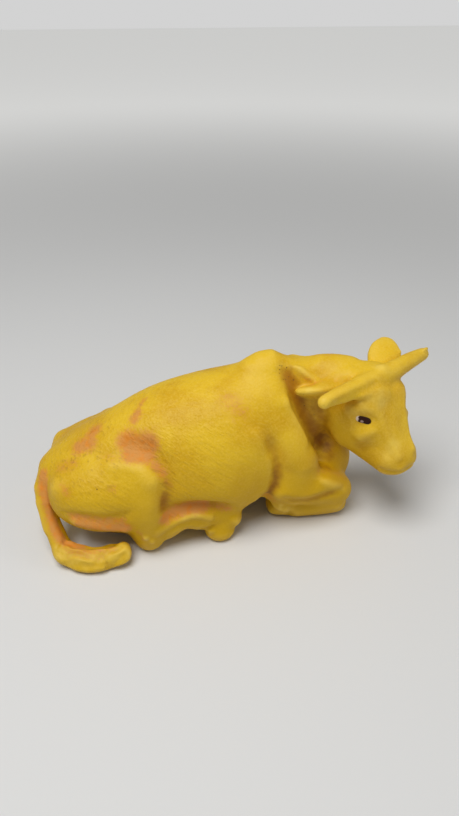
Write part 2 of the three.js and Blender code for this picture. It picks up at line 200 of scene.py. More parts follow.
# Strokes that have no like on the other side
ONE_SIDED = [
    # Top of the hump and its slope to the back, and the dip before the neck
    ([(6.2, 0.8, 34.0), (8.4, 0.6, 34.3)], 2.4, 0.8),
    ([(2.6, 4.2, 30.9), (2.6, 0.0, 32.7), (2.6, -2.1, 32.0), (2.6, -4.2, 30.9),
      (2.6, -6.6, 29.4)], 2.0, 0.6),
    ([(12.4, 0.4, 33.9)], 2.1, -0.55),
    # Top of the rump
    ([(-32.8, 1.0, 21.6), (-33.6, 3.4, 20.2)], 2.2, -0.55),
    # Folds of the neck on the side that the head turns to
    ([(11.2, -1.9, 33.4), (12.5, -2.6, 32.8), (13.4, -3.4, 32.1), (14.5, -4.1, 31.3),
      (15.6, -4.7, 30.5)], 0.7, 0.55),
    ([(19.4, -5.6, 31.0), (22.0, -5.4, 31.8)], 1.2, 0.5),
]
# Strokes that are made when the outer masses have joined
LATE = [
    # The near ear flows into the neck
    ([(16.6, -5.7, 30.2), (18.8, -5.4, 30.6), (21.4, -5.4, 31.2)], 1.3, 0.9),
    # Outer side of the tail, a bump on its tuft, and its inner side
    ([(-38.3, -6.0, 10.0), (-38.0, -7.8, 7.4), (-37.6, -9.8, 5.0), (-36.6, -11.8, 3.4),
      (-35.2, -13.6, 2.2)], 1.3, 0.6),
    ([(-31.0, -13.0, 4.0)], 1.0, 0.35),
    ([(-35.0, -6.4, 9.6), (-34.4, -8.0, 7.0), (-33.4, -9.6, 5.0)], 1.1, -0.7),
]
# Strokes of the top of the head, in the head's frame
POLL = [
    # The bridge between the horns, with its knot, and the groove under it
    ([(-0.5, -4.0, 1.9), (-0.7, 0.0, 2.3), (-0.5, 4.0, 1.9)], 1.5, 0.8),
    ([(-1.6, 0.9, 2.7)], 1.2, 0.7),
    ([(0.7, -12.2, 2.3), (0.5, -9.2, 3.0), (0.5, -7.1, 3.2), (0.5, -5.2, 3.3),
      (0.4, -2.5, 3.4)], 0.8, -0.55),
    # Forehead, and the root of the near horn
    ([(2.0, -5.0, 2.6), (2.2, -3.2, 3.0), (2.6, -0.8, 3.4)], 1.5, 0.7),
    ([(0.0, -8.6, 2.0)], 1.3, 0.35),
]

# Strokes of the head, in its own frame and made on both sides
HEAD_SWELLS = [
    # Eye socket, with the brow above it and the cheekbone below
    ([(6.2, -6.2, 0.3)], 1.9, -0.6),
    ([(3.2, -6.5, -1.6), (3.7, -5.6, 0.8), (5.0, -4.2, 2.4)], 1.2, 0.6),
    ([(9.6, -6.5, -1.8), (8.8, -5.2, 1.2)], 1.2, 0.4),
    # Hollow between cheek and muzzle, and the corner of the muzzle
    ([(11.6, -5.6, -0.4), (11.8, -5.6, -3.6)], 1.3, -0.6),
    ([(15.6, -4.0, 0.6), (16.4, -3.6, -1.4)], 1.4, 0.4),
    ([(17.4, -1.8, 0.9)], 1.6, 0.45),
    # Edge of the nose
    ([(6.6, -3.4, 2.8), (11.5, -2.8, 2.3), (15, -2.2, 2.6)], 1.0, 0.4),
    # Brow, and the back of the cheek
    ([(2.9, -5.0, 1.4), (3.2, -3.6, 2.6)], 1.7, 0.5),
    ([(3.5, -6.9, -5.3), (5.1, -7.0, -6.3), (7.4, -6.5, -7.8), (9.4, -6.0, -8.0)], 2.0, 0.7),
]
HEAD_CREASES = [
    # Mouth and nostril
    ([(16.6, -4.2, -1.4), (17.8, -2.6, 0.7), (18.0, -0.4, 1.4)], 0.5, -0.4),
    ([(16.4, -1.9, 2.6), (16.9, -2.3, 2.2)], 0.45, -0.35),
]

# Nubs of flash where the two halves of the mould met: on the far horn and ear, and along the tail
FLASH = [
    ([(38.4, -2.0, 33.8), (39.2, -1.4, 33.7)], 0.6, 0.7),
    ([(34.6, 1.6, 33.6)], 0.5, 0.35),
    ([(34.8, 0.6, 32.2)], 0.5, 0.35),
    ([(-37.0, -13.0, 2.4)], 0.5, 0.6),
    ([(-35.4, -14.4, 1.8)], 0.5, 0.45),
]

# The tail's tuft: the line through its middle, and the wavy grooves between its locks of hair
TUFT_LINE = [(-35.2, -10.4, 3.4), (-33.4, -12.0, 2.4), (-29.6, -13.8, 2.0), (-26.2, -14.4, 2.1),
             (-23.0, -14.0, 2.4)]
TUFT_HALF_WIDTH = 2.7
TUFT_HALF_HEIGHT = 2.1
GROOVES = 9  # from one side over the top to the other
GROOVE_SPREAD = 1.35  # radians from the top to the lowest groove
GROOVE_SWING = 0.2  # radians to either side
GROOVE_WAVE = 6.0  # radians of its wave from one end to the other
GROOVE_LAG = 2.4  # radians that each wave is behind the one before
GROOVE_HALF_WIDTH = 0.5
GROOVE_DEPTH = 0.8


# Strokes

CURVE_STEPS = 4  # places on a stroke's curve from one of its points to the next
DOT = 0.01  # length in mm of a stroke that has one point
STROKE_REACH = 3  # half widths from a stroke to where it has faded out
SOFTENING_REACH = 2.5


def smooth_line(points):
    """Places on a smooth curve through the points of a stroke."""
    points = np.array(points, np.float32)
    if len(points) == 1:
        return np.vstack([points, points + DOT])
    padded = np.vstack([2 * points[0] - points[1], points, 2 * points[-1] - points[-2]])
    places = []
    for k in range(1, len(padded) - 2):
        a, b, c, d = padded[k - 1:k + 3]
        for t in np.linspace(0, 1, CURVE_STEPS + 1)[:-1]:
            places.append(0.5 * (2 * b + (c - a) * t + (2 * a - 5 * b + 4 * c - d) * t**2
                                 + (3 * b - a - 3 * c + d) * t**3))
    return np.array(places + [points[-1]], np.float32)


def distance_to(places, line):
    """The distance of each place to a line, and how far along the line its nearest is, from 0 to 1."""
    best = np.full(places.shape[:-1], 1e9, np.float32)
    share = np.zeros_like(best)
    for k, (a, b) in enumerate(zip(line[:-1], line[1:])):
        along = b - a
        part = np.clip(((places - a) @ along) / (along @ along), 0, 1)
        gap = places - a - part[..., None] * along
        gap = (gap * gap).sum(-1)
        share = np.where(gap < best, (k + part) / (len(line) - 1), share)
        best = np.minimum(best, gap)
    return np.sqrt(best), share


def mirrored(points):
    """The like of a stroke on the animal's other side, or the other side of its head."""
    return [(x, -y, z) for x, y, z in points]


def sides_of(points, both_sides=True):
    """A stroke, and its like where both sides have it."""
    return (points, mirrored(points)) if both_sides else (points,)


def on_body(points):
    return np.array(points) + SHIFT


def on_head(points):
    return np.array(points) @ HEAD_TURN.T + HEAD_AT + SHIFT


def around(points, reach):
    """The part of the grid near a stroke, its distances and shares, and how many places the curve has."""
    line = smooth_line(points)
    place, axes = grid_window(line.min(0) - reach, line.max(0) + reach)
    away, share = distance_to(np.stack(axes, -1), line)
    return place, away, share, len(line)


def sculpt(field, points, half_width, height, sharp=False):
    """Raises or carves the surface along a stroke. A long sharp stroke fades out at both ends."""
    place, away, share, count = around(points, STROKE_REACH * half_width)
    away /= half_width
    if sharp and count > 2 * CURVE_STEPS + 1:
        fade = np.clip(4 * np.minimum(share, 1 - share), 0.25, 1)
        field[place] -= height * np.exp(-away ** 1.3) * fade
    else:
        field[place] -= height * np.exp(-away ** 2)


def soften(field, points, half_width):
    """Smooths the surface along a stroke."""
    place, away, _, _ = around(points, SOFTENING_REACH * half_width)
    share = np.exp(-(away / half_width) ** 4)
    field[place] += share * (blurred(field[place], 0.5 * half_width) - field[place])


# The grid of distances

BELL_END = 2.6  # widths from its middle to where a bell curve is cut off
LAYING_ROUNDS = 4


def corners_of(node):
    """Corner places in mm and triangles of a CAD node."""
    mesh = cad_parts[node].data
    mesh.calc_loop_triangles()
    places = np.empty(len(mesh.vertices) * 3, np.float32)
    mesh.vertices.foreach_get("co", places)
    faces = np.empty(len(mesh.loop_triangles) * 3, np.int32)
    mesh.loop_triangles.foreach_get("vertices", faces)
    return places.reshape(-1, 3) / MM, faces.reshape(-1, 3)


def welded(places, faces):
    """The same surface with shared corners, as the distance grid needs."""
    keys = np.round(places * WELD).astype(np.int64)
    kept, index = np.unique(keys, axis=0, return_inverse=True)
    faces = index.reshape(-1)[faces]
    whole = (faces[:, 0] != faces[:, 1]) & (faces[:, 1] != faces[:, 2]) & (faces[:, 2] != faces[:, 0])
    return (kept / WELD).astype(np.float32), faces[whole].astype(np.uint32)


# Lowest and highest point of the grid, counted from the origin, and how many points it has each way
LOW = np.floor((np.array(cad_box[0]) / MM - MARGIN) / VOXEL).astype(int)
HIGH = np.ceil((np.array(cad_box[1]) / MM + MARGIN) / VOXEL).astype(int)
SIZE = HIGH - LOW + 1


def blurred(field, sigma):
    """The field smoothed by a bell curve of sigma mm."""
    width = sigma / VOXEL
    half = max(1, int(math.ceil(BELL_END * width)))
    weights = np.exp(-0.5 * (np.arange(-half, half + 1) / width) ** 2)
    weights = (weights / weights.sum()).astype(np.float32)
    for axis in range(3):
        padding = [(half, half) if a == axis else (0, 0) for a in range(3)]
        wide = np.pad(field, padding, mode="edge")
        total = np.zeros_like(field)
        for k, weight in enumerate(weights):
            part = [slice(None)] * 3
            part[axis] = slice(k, k + field.shape[axis])
            total += weight * wide[tuple(part)]
        field = total
    return field


def distances(node, sigma):
    """Where a CAD node's part of the grid starts, and its signed distances in mm there."""
    places, faces = welded(*corners_of(node))
    places -= VOXEL * LOW.astype(np.float32)
    grid = openvdb.FloatGrid.createLevelSetFromPolygons(
        places, triangles=faces,
        transform=openvdb.createLinearTransform(voxelSize=VOXEL), halfWidth=REACH / VOXEL)
    reach = int(math.ceil(REACH / VOXEL)) + 1
    start = np.maximum(np.floor(places.min(0) / VOXEL).astype(int) - reach, 0)
    stop = np.minimum(np.ceil(places.max(0) / VOXEL).astype(int) + reach, SIZE - 1) + 1
    field = np.full(stop - start, REACH, np.float32)
    grid.copyToArray(field, ijk=tuple(int(v) for v in start))
    return start, blurred(field, sigma)


def smooth_union(a, b, width):
    """The nearer of two surfaces, with a fillet of that width where they meet."""
    if width <= 0:
        return np.minimum(a, b)
    overlap = np.maximum(width - np.abs(a - b), 0) / width
    return np.minimum(a, b) - overlap * overlap * (width / 4)


def grid_window(low, high):
    """The part of the grid inside a box in mm, and the places of its points."""
    start = np.clip(np.floor(low / VOXEL).astype(int) - LOW, 0, SIZE - 1)
    stop = np.clip(np.ceil(high / VOXEL).astype(int) - LOW + 1, 1, SIZE)
    axes = []
    for first, last, low_end in zip(start, stop, LOW):
        axes.append(((np.arange(first, last) + low_end) * VOXEL).astype(np.float32))
    return tuple(slice(a, b) for a, b in zip(start, stop)), np.meshgrid(*axes, indexing="ij")


def sample(field, places, start=(0, 0, 0)):
    """The field's value at places in mm, between its points."""
    at = places / VOXEL - LOW - np.array(start)
    top = np.array(field.shape) - 2
    base = np.clip(np.floor(at).astype(int), 0, top)
    part = np.clip(at - base, 0, 1)
    total = 0
    for corner in range(8):
        bits = np.array([(corner >> a) & 1 for a in range(3)])
        weight = np.prod(np.where(bits, part, 1 - part), axis=1)
        i, j, k = (base + bits).T
        total = total + weight * field[i, j, k]
    return total


def slopes(field, places):
    """The field's gradient at places in mm."""
    found = np.empty_like(places)
    for axis in range(3):
        move = np.zeros(3)
        move[axis] = VOXEL
        found[:, axis] = (sample(field, places + move) - sample(field, places - move)) / (2 * VOXEL)
    return found


def laid_on(field, places):
    """Places in mm moved to the nearest of the surface."""
    for _ in range(LAYING_ROUNDS):
        slope = slopes(field, places)
        steep = np.maximum((slope * slope).sum(1), 0.1)
        places = places - (sample(field, places) / steep)[:, None] * slope
    return places


def floor_cut(field):
    """The flat underside: nothing stays below the table top."""
    heights = (np.arange(SIZE[2]) + LOW[2]) * VOXEL
    return np.maximum(field, -heights[None, None, :].astype(np.float32))


def join(whole, rows, masses):
    """Adds masses to the whole figure's distances, and keeps those of each mass alone."""
    for node, width, sigma in rows:
        start, field = distances(node, sigma)
        field -= SMOOTHING_LOSS
        masses[node] = (start, field)
        place = tuple(slice(s, s + n) for s, n in zip(start, field.shape))
        whole[place] = smooth_union(whole[place], field, width)


def carve_tuft(field):
    """Wavy grooves that part the tail's tuft into locks."""
    line = smooth_line(TUFT_LINE)
    share = np.linspace(0, 1, len(line))
    forward = np.gradient(line, axis=0)
    forward /= np.linalg.norm(forward, axis=1, keepdims=True)
    across = np.cross(forward, (0, 0, 1))
    for k, middle_angle in enumerate(np.linspace(-GROOVE_SPREAD, GROOVE_SPREAD, GROOVES)):
        wave = GROOVE_SWING * np.sin(GROOVE_WAVE * share + GROOVE_LAG * k)
        angle = (middle_angle + wave)[:, None]
        upward = TUFT_HALF_HEIGHT * np.cos(angle) * np.array([0, 0, 1])
        groove = line + TUFT_HALF_WIDTH * np.sin(angle) * across + upward
        first, last = (3, -2) if k % 2 else (5, -1)  # neighbours start and end at different places
        sculpt(field, laid_on(field, groove[first:last] + SHIFT), GROOVE_HALF_WIDTH, -GROOVE_DEPTH)


def sculpt_rows(field, rows, placed, both_sides, sharp=False):
    """Makes a table's strokes. The function placed takes their points to the shared frame."""
    for points, half_width, height in rows:
        for side in sides_of(points, both_sides):
            sculpt(field, placed(side), half_width, height, sharp)


def sculpt_body(field):
    """The strokes that are made before the outer masses join."""
    sculpt_rows(field, SWELLS, on_body, True)
    sculpt_rows(field, CREASES, on_body, True, sharp=True)
    sculpt_rows(field, HEAD_SWELLS, on_head, True)
    sculpt_rows(field, HEAD_CREASES, on_head, True, sharp=True)
    sculpt_rows(field, ONE_SIDED, on_body, False)
    for points, half_width in SOFTER:
        for side in sides_of(points):
            soften(field, on_body(side), half_width)


def sculpt_ends(field):
    """The strokes that are made when they have joined."""
    sculpt_rows(field, POLL, on_head, False)
    sculpt_rows(field, LATE + FLASH, on_body, False)
    for points, half_width in SOFTER_TAIL:
        soften(field, on_body(points), half_width)
    carve_tuft(field)


skin_field = np.full(SIZE, REACH, np.float32)
masses = {}
join(skin_field, BODY, masses)
skin_field = blurred(skin_field, BODY_SMOOTHING)
sculpt_body(skin_field)
join(skin_field, OUTER, masses)
sculpt_ends(skin_field)
skin_field = floor_cut(blurred(skin_field, LAST_SMOOTHING))


# The skin as a mesh

QUAD_SIDES = ((0, 1), (1, 2), (2, 3), (3, 0))  # the corners at both ends of each side of a face
SETTLING_ROUNDS = 3
SETTLING_SHARE = 0.5  # of the way to the middle of its neighbours that a corner goes each time


def skin_mesh(field):
    """Places in mm and four-cornered faces of the surface where the field is zero."""
    grid = openvdb.FloatGrid(REACH)
    grid.transform = openvdb.createLinearTransform(voxelSize=VOXEL)
    grid.copyFromArray(field.astype(np.float32))
    places, quads = grid.convertToQuads()
    places = places.astype(np.float64) + LOW * VOXEL
    return places, quads[:, ::-1].astype(np.int64)


def settle(places, quads, field):
    """Evens out the mesh a little and lays its corners on the surface again."""
    for _ in range(SETTLING_ROUNDS):
        total = np.zeros_like(places)
        count = np.zeros(len(places))
        for a, b in QUAD_SIDES:
            np.add.at(total, quads[:, a], places[quads[:, b]])
            np.add.at(total, quads[:, b], places[quads[:, a]])
            np.add.at(count, quads[:, a], 1)
            np.add.at(count, quads[:, b], 1)
        places = places + SETTLING_SHARE * (total / count[:, None] - places)
        slope = slopes(field, places)
        steep = np.maximum((slope * slope).sum(1, keepdims=True), 0.05)
        away = sample(field, places)[:, None]
        places = places - np.clip(away / steep, -VOXEL, VOXEL) * slope
    return places


skin, quads = skin_mesh(skin_field)
skin = settle(skin, quads, skin_field)
slope = slopes(skin_field, skin)
normals = slope / np.maximum(np.linalg.norm(slope, axis=1, keepdims=True), 1e-6)
middle = skin[quads].mean(1)
facing = np.cross(skin[quads[:, 2]] - skin[quads[:, 0]], skin[quads[:, 3]] - skin[quads[:, 1]])
if (facing * normals[quads].mean(1)).sum() < 0:
    quads = quads[:, ::-1]


def distance_from(name, places):
    """The distance of places on the skin from one mass, or a large value far from it."""
    start, field = masses[name]
    at = places / VOXEL - LOW - start
    inside = ((at >= 0) & (at <= np.array(field.shape) - 1)).all(1)
    value = np.full(len(places), REACH)
    value[inside] = sample(field, places[inside], start)
    return value


# Which mass each face of the skin belongs to
names = [row[0] for row in BODY + OUTER]
owner = np.argmin([distance_from(name, middle) for name in names], axis=0)


# What is left of old paint, and dirt with painted shade in the folds: points in mm, half width, strength.
# They are given for the animal's right side, and the left side has the like, weaker.
LEFT_SHARE = 0.7
PAINT = [
    # Flank, with its fading tail towards the belly
    ([(-20.2, -6.6, 23.0), (-18.3, -7.4, 22.6), (-16.6, -8.0, 23.0)], 2.5, 1.2),
    ([(-19.8, -8.4, 21.3), (-17.4, -9.0, 21.3)], 2.2, 1.2),
    ([(-16.0, -10.6, 20.2), (-14.6, -11.6, 18.4)], 1.4, 0.75),
    ([(-14.3, -11.8, 17.8), (-13.6, -12.4, 16.2)], 1.0, 0.5),
    # Rump
    ([(-33.1, -5.4, 18.0), (-30.6, -6.0, 19.1)], 2.0, 0.5),
    # Thigh
    ([(-24.6, -7.4, 20.9), (-23.2, -8.4, 20.7)], 1.4, 0.4),
    ([(-33.0, -9.4, 17.0), (-32.0, -10.3, 15.4)], 1.2, 0.6),
    ([(-23.8, -12.4, 16.8)], 1.5, 0.5),
    # Crease under the thigh, and the hock
    ([(-30.6, -12.4, 10.0), (-26.5, -13.3, 9.0), (-22.4, -13.4, 8.2)], 1.6, 1.0),
    ([(-31.6, -11.8, 10.9), (-27.0, -13.1, 10.2), (-23.0, -13.6, 9.8)], 1.4, 0.85),
    ([(-20.4, -14.2, 7.0), (-19.6, -14.4, 4.6)], 1.0, 0.6),
    # Along the top of the hind shin
    ([(-14.9, -13.2, 9.0), (-11.4, -12.2, 9.8), (-7.4, -12.0, 9.8)], 1.6, 1.1),
    ([(-6.0, -12.0, 9.6), (-2.6, -12.2, 8.4)], 1.4, 0.65),
    # Barrel behind the shoulder
    ([(-1.4, -6.6, 29.7), (0.6, -8.8, 28.2)], 2.8, 0.5),
    # Forearm, and under the elbow
    ([(15.9, -9.8, 13.6), (18.6, -9.2, 11.8), (21.0, -8.6, 9.8)], 1.6, 0.4),
    ([(5.2, -10.6, 8.6), (6.2, -10.6, 6.4)], 1.6, 0.75),
    # Neck before and behind the near ear, and its crest
    ([(12.6, -4.6, 31.4), (16.4, -5.6, 30.0), (19.0, -6.0, 30.2)], 1.3, 0.55),
    ([(17.0, 0.4, 34.0), (20.4, -0.4, 34.2)], 1.6, 0.45),
    # Inner side of the tail, and its tuft
    ([(-37.0, -3.4, 15.2), (-37.0, -5.1, 13.2), (-36.3, -7.0, 11.0), (-35.7, -8.3, 8.4),
      (-35.0, -10.0, 6.0), (-33.8, -11.0, 4.8), (-31.0, -12.0, 4.3)], 1.5, 1.15),
    ([(-33.0, -12.6, 3.9), (-30.0, -13.8, 4.1), (-25.6, -13.8, 4.3)], 1.4, 0.65),
    ([(-33.4, -13.4, 2.8), (-28.0, -15.0, 3.0)], 1.3, 0.4),
]
# On one side alone: the back and the rump
PAINT_RIGHT = [
    ([(-18.6, -4.0, 25.8), (-18.0, -3.0, 26.5)], 1.5, 0.85),
    ([(-29.1, -3.4, 20.8), (-27.6, -3.6, 21.4)], 2.3, 1.0),
    ([(-17.4, -1.8, 27.0), (-16.6, -0.4, 27.8)], 1.0, 0.65),
    ([(-27.2, -2.4, 22.0), (-26.2, -1.4, 22.7)], 2.0, 0.9),
]
PAINT_LEFT = [
    ([(-17.6, 6.6, 24.8), (-16.2, 5.8, 25.6)], 1.6, 0.85),
    ([(-27.6, 10.4, 16.6), (-25.8, 10.0, 17.4)], 2.3, 1.0),
]
# Dirt and painted shade along the grooves and folds
DIRT_AND_SHADE = [
    # Groove between shoulder and neck, and the side of the neck down to the brisket
    ([(10.6, -3.4, 31.4), (11.4, -4.2, 29.6), (12.2, -5.1, 27.0), (13.7, -5.6, 23.4),
      (16.3, -4.7, 19.2), (18.0, -3.8, 16.0)], 2.2, 0.88),
    ([(15.8, -5.6, 25.0), (18.6, -4.6, 20.6), (19.2, -3.6, 16.0), (19.8, -5.4, 13.2)], 2.4, 0.65),
    # Inner side of the forearm, and behind the foreleg
    ([(16.2, -8.6, 13.6), (18.8, -8.0, 12.0)], 1.6, 0.55),
    ([(5.4, -11.0, 22.4), (6.6, -11.5, 18.8), (7.0, -11.8, 16.4)], 1.5, 0.5),
    ([(7.0, -11.8, 16.4), (6.8, -11.8, 13.4), (5.2, -11.4, 9.8)], 1.4, 0.85),
    # Groove before the thigh, between hind shin and hoof, and over the fore shin
    ([(-15.0, -12.4, 14.0), (-15.2, -12.4, 11.4)], 1.5, 0.9),
    ([(-14.2, -12.4, 17.2), (-13.8, -12.6, 15.6)], 1.1, 0.5),
    ([(-7.2, -12.6, 4.1), (-5.6, -12.7, 4.6)], 0.5, 0.7),
    ([(9.7, -12.6, 8.2), (13.4, -12.4, 7.6), (18.6, -11.8, 8.3)], 0.9, 0.65),
]
# Where the dirt and painted shade are deepest: before and behind the shoulder and the foreleg, and before the
# thigh
DEEPEST_DIRT_AND_SHADE = [
    ([(18.0, -3.5, 15.8), (18.8, -3.2, 13.2)], 2.2, 0.8),
    ([(11.2, -3.2, 31.8), (12.0, -4.2, 30.0)], 0.9, 0.3),
    ([(6.9, -11.8, 15.6), (6.6, -11.8, 12.6), (5.2, -11.4, 9.8)], 0.7, 0.7),
    ([(-15.2, -12.4, 12.6)], 1.0, 0.6),
]
# Where handling has worn the skin pale, with painted highlights on the ridges, brow, muzzle and tips
WORN_AND_HIGHLIGHT = [
    # Ridge of the thigh, hock, top of the hind shin, forearm, and tuft of the tail
    ([(-20.6, -10.2, 20.0), (-18.2, -10.6, 20.4)], 1.4, 0.4),
    ([(-18.9, -14.3, 5.4)], 0.9, 0.45),
    ([(-11.4, -13.2, 8.3), (-8.8, -13.1, 8.6)], 0.9, 0.45),
    ([(14.7, -11.5, 12.9), (18.0, -11.2, 10.6), (21.2, -10.5, 8.0)], 1.0, 0.3),
    ([(-35.0, -12.8, 2.8), (-31.0, -14.4, 2.8), (-26.0, -15.0, 3.0), (-22.6, -14.4, 3.4)], 2.6, 0.5),
    # Cheek, rim of the fore hoof, tips of the near ear and horn, and the fold of the neck
    ([(21.4, -10.0, 26.4), (24.0, -10.6, 27.4)], 2.6, 0.4),
    ([(8.4, -10.8, 5.6), (8.0, -10.2, 3.2)], 0.8, 0.6),
    ([(13.4, -7.4, 30.8)], 1.0, 0.7),
    ([(16.4, -13.2, 30.9)], 1.2, 0.5),
    ([(9.4, -2.3, 33.4), (13.6, -3.4, 32.1), (15.6, -4.6, 30.4)], 1.0, 0.35),
    # Brow, muzzle, and top of the head
    ([(23.5, -10.2, 28.8), (24.8, -10.2, 29.4), (26.2, -10.9, 28.5)], 2.0, 0.6),
    ([(28.7, -14.5, 20.9), (27.4, -14.9, 19.1)], 2.2, 0.5),
    ([(27.0, -6.4, 33.6)], 1.4, 0.6),
]
# Where small strokes of the hair hold dark paint, and where the mould left pits
HAIR_STROKES = [
    ([(-33.0, -5.0, 18.0), (-29.0, -6.0, 19.6), (-24.0, -8.4, 20.6)], 3.0, 0.85),
    ([(-33.0, -9.0, 16.6), (-28.6, -11.2, 16.8), (-24.4, -12.0, 17.0)], 2.4, 0.6),
    ([(-28.0, -2.6, 21.6), (-24.6, -2.0, 23.6)], 2.4, 0.7),
    ([(-17.6, -2.4, 27.0), (-14.4, -1.0, 28.6)], 2.4, 0.5),
    ([(-16.8, -8.8, 22.8), (-14.2, -12.0, 18.4)], 2.6, 0.8),
    ([(-4.0, -4.0, 30.4)], 3.0, 0.3),
]
PITS = [
    ([(9.3, -2.4, 32.9), (9.9, -2.8, 32.1), (11.0, -3.6, 31.0)], 1.0, 1.0),
    ([(7.0, -11.4, 15.4)], 0.8, 0.8),
    ([(13.4, -6.8, 28.4), (16.0, -7.0, 23.0)], 1.2, 0.5),
]


def marks(rows, places, both_sides=True):
    """The strength of the marks at places in mm."""
    total = np.zeros(len(places), np.float32)
    for points, half_width, strength in rows:
        for side, share in zip(sides_of(points, both_sides), (1.0, LEFT_SHARE)):
            line = smooth_line(on_body(side))
            reach = STROKE_REACH * half_width
            near = ((places > line.min(0) - reach) & (places < line.max(0) + reach)).all(1)
            away = distance_to(places[near].astype(np.float32), line)[0] / half_width
            total[near] = np.maximum(total[near], share * strength * np.exp(-away ** 2))
    return total


def distance_from_any(some, places):
    """The distance of places on the skin from the nearest of some masses."""
    return np.min([distance_from(name, places) for name in some], axis=0)


HAIRY = ("torso", "neck", "haunch_right", "haunch_left")
HAIR_END = 1.5  # distance from these masses where the hair has ended
HAIR_FRONT = 6.0  # along the body, the hair thins out over the length HAIR_FADE up to here
HAIR_FADE = 12.0
HAIR_LEAST = 0.2  # what is left of it further forward


def hair_cover(places):
    """1 where the mould has hair, on the back half of the trunk, and less towards head and legs."""
    away = distance_from_any(HAIRY, places)
    behind = (HAIR_FRONT - places[:, 0]) / HAIR_FADE
    return np.clip(1 - away / HAIR_END, 0, 1) * np.clip(behind, HAIR_LEAST, 1)


SPARED = ("head", "ear_right", "ear_left", "horn_right")  # dirt and painted shade lie beside these and not on them
SPARED_REACH = 0.7  # distance from them where it lies in full
BEND_WIDTH = 0.8  # hollows and edges of about this width are found
HOLLOW_DEPTH = 0.3  # how far the skin bends inwards in a full hollow
EDGE_START = 0.12  # and outwards where an edge begins, and how much more on a full edge
EDGE_HEIGHT = 0.3

bend = sample(blurred(skin_field, BEND_WIDTH), skin)
in_folds = np.clip(distance_from_any(SPARED, skin) / SPARED_REACH, 0, 1)
layers = {
    "paint": np.maximum(marks(PAINT, skin), marks(PAINT_RIGHT + PAINT_LEFT, skin, False)),
    "dirt_and_shade": marks(DIRT_AND_SHADE, skin) * in_folds,
    "deepest_dirt_and_shade": marks(DEEPEST_DIRT_AND_SHADE, skin) * in_folds,
    "worn_and_highlight": marks(WORN_AND_HIGHLIGHT, skin),
    "hair_strokes": marks(HAIR_STROKES, skin),
    "pits": marks(PITS, skin),
    "hair": hair_cover(skin),
    "hollow_shade": np.clip(-bend / HOLLOW_DEPTH, 0, 1),
    "edge": np.clip((bend - EDGE_START) / EDGE_HEIGHT, 0, 1),
}


def rim_of(faces):
    """The open edges of a patch, each in the direction its own face has it."""
    edges = set()
    for a, b in QUAD_SIDES:
        edges.update(zip(faces[:, a].tolist(), faces[:, b].tolist()))
    return [(a, b) for a, b in sorted(edges) if (b, a) not in edges]


def add_layer(mesh, layer, values):
    """Gives a mesh a value at each corner, for its material."""
    mesh.attributes.new(layer, "FLOAT", "POINT").data.foreach_set("value", values.astype(np.float32))


def piece_mesh(name, faces):
    """A patch of the skin, with its rim turned in under its neighbours."""
    used, index = np.unique(faces, return_inverse=True)
    faces = index.reshape(faces.shape)
    rim = rim_of(faces)
    turned_in = {v: len(used) + n for n, v in enumerate(sorted({v for pair in rim for v in pair}))}
    source = np.concatenate([used, used[list(turned_in)]])
    places = skin[source]
    places[len(used):] -= RIM_DEPTH * normals[source[len(used):]]
    polygons = [tuple(f) for f in faces.tolist()]
    polygons += [(b, a, turned_in[a], turned_in[b]) for a, b in rim]
    mesh = bpy.data.meshes.new(name)
    mesh.from_pydata((places * MM).tolist(), [], polygons)
    for layer, values in layers.items():
        add_layer(mesh, layer, values[source])
    mesh.shade_smooth()
    mesh.normals_split_custom_set_from_vertices(normals[source].tolist())
    return mesh


# A painted eye, in the head's frame: its corners, half its height, how far it bulges and lies above the skin,
# how deep its rim is turned in, and at what share of half its length its tips are cut off
EYE = {"rear": np.array([5.3, 6.0, -0.9]), "front": np.array([7.0, 4.6, 1.3]), "tall": 0.82,
       "bulge": 0.2, "lift": 0.05, "rim": 0.2, "tip": 0.985}
EYE_ROWS = 13
EYE_COLUMNS = 31


def almond(side):
    """Places, faces and eye coordinates of a painted eye that lies on the skin and bulges a little."""
    rows, columns = EYE_ROWS, EYE_COLUMNS
    along_eye = np.linspace(-EYE["tip"], EYE["tip"], columns)
    u, v = np.meshgrid(along_eye, np.linspace(-1, 1, rows), indexing="ij")
    u, v = u.ravel(), v.ravel()
    front, rear = EYE["front"] * (1, side, 1), EYE["rear"] * (1, side, 1)
    along = (front - rear) / 2
    upward = np.cross(along, (0, side, 0))
    upward = EYE["tall"] * upward / np.linalg.norm(upward)
    height = (1 - np.abs(u) ** 5) * v
    flat = (front + rear) / 2 + u[:, None] * along + height[:, None] * upward
    places = laid_on(skin_field, on_head(flat))
    lying = slopes(skin_field, places)
    lying /= np.linalg.norm(lying, axis=1, keepdims=True)
    rise = EYE["lift"] + EYE["bulge"] * (1 - u**2) * (1 - v**2)
    edge = (np.abs(v) > 0.999) | (np.abs(u) > EYE["tip"] - 0.001)
    rise[edge] = -EYE["rim"]
    places = places + rise[:, None] * lying
    index = np.arange(columns * rows).reshape(columns, rows)
    faces = np.stack([index[:-1, :-1], index[1:, :-1], index[1:, 1:], index[:-1, 1:]], -1).reshape(-1, 4)
    first = places[faces[:, 0]]
    across = np.cross(places[faces[:, 1]] - first, places[faces[:, 3]] - first)
    if (across * lying[faces[:, 0]]).sum() < 0:
        faces = faces[:, ::-1]
    return places, faces, u, v


def eye_piece(hand, side):
    """The eye's object. Side is -1 on the right and 1 on the left."""
    places, faces, u, v = almond(side)
    mesh = bpy.data.meshes.new("eye_" + hand + "_paint")
    mesh.from_pydata((places * MM).tolist(), [], faces.tolist())
    add_layer(mesh, "eye_u", u)
    add_layer(mesh, "eye_v", v)
    mesh.shade_smooth()
    return bpy.data.objects.new(mesh.name, mesh)


# Materials

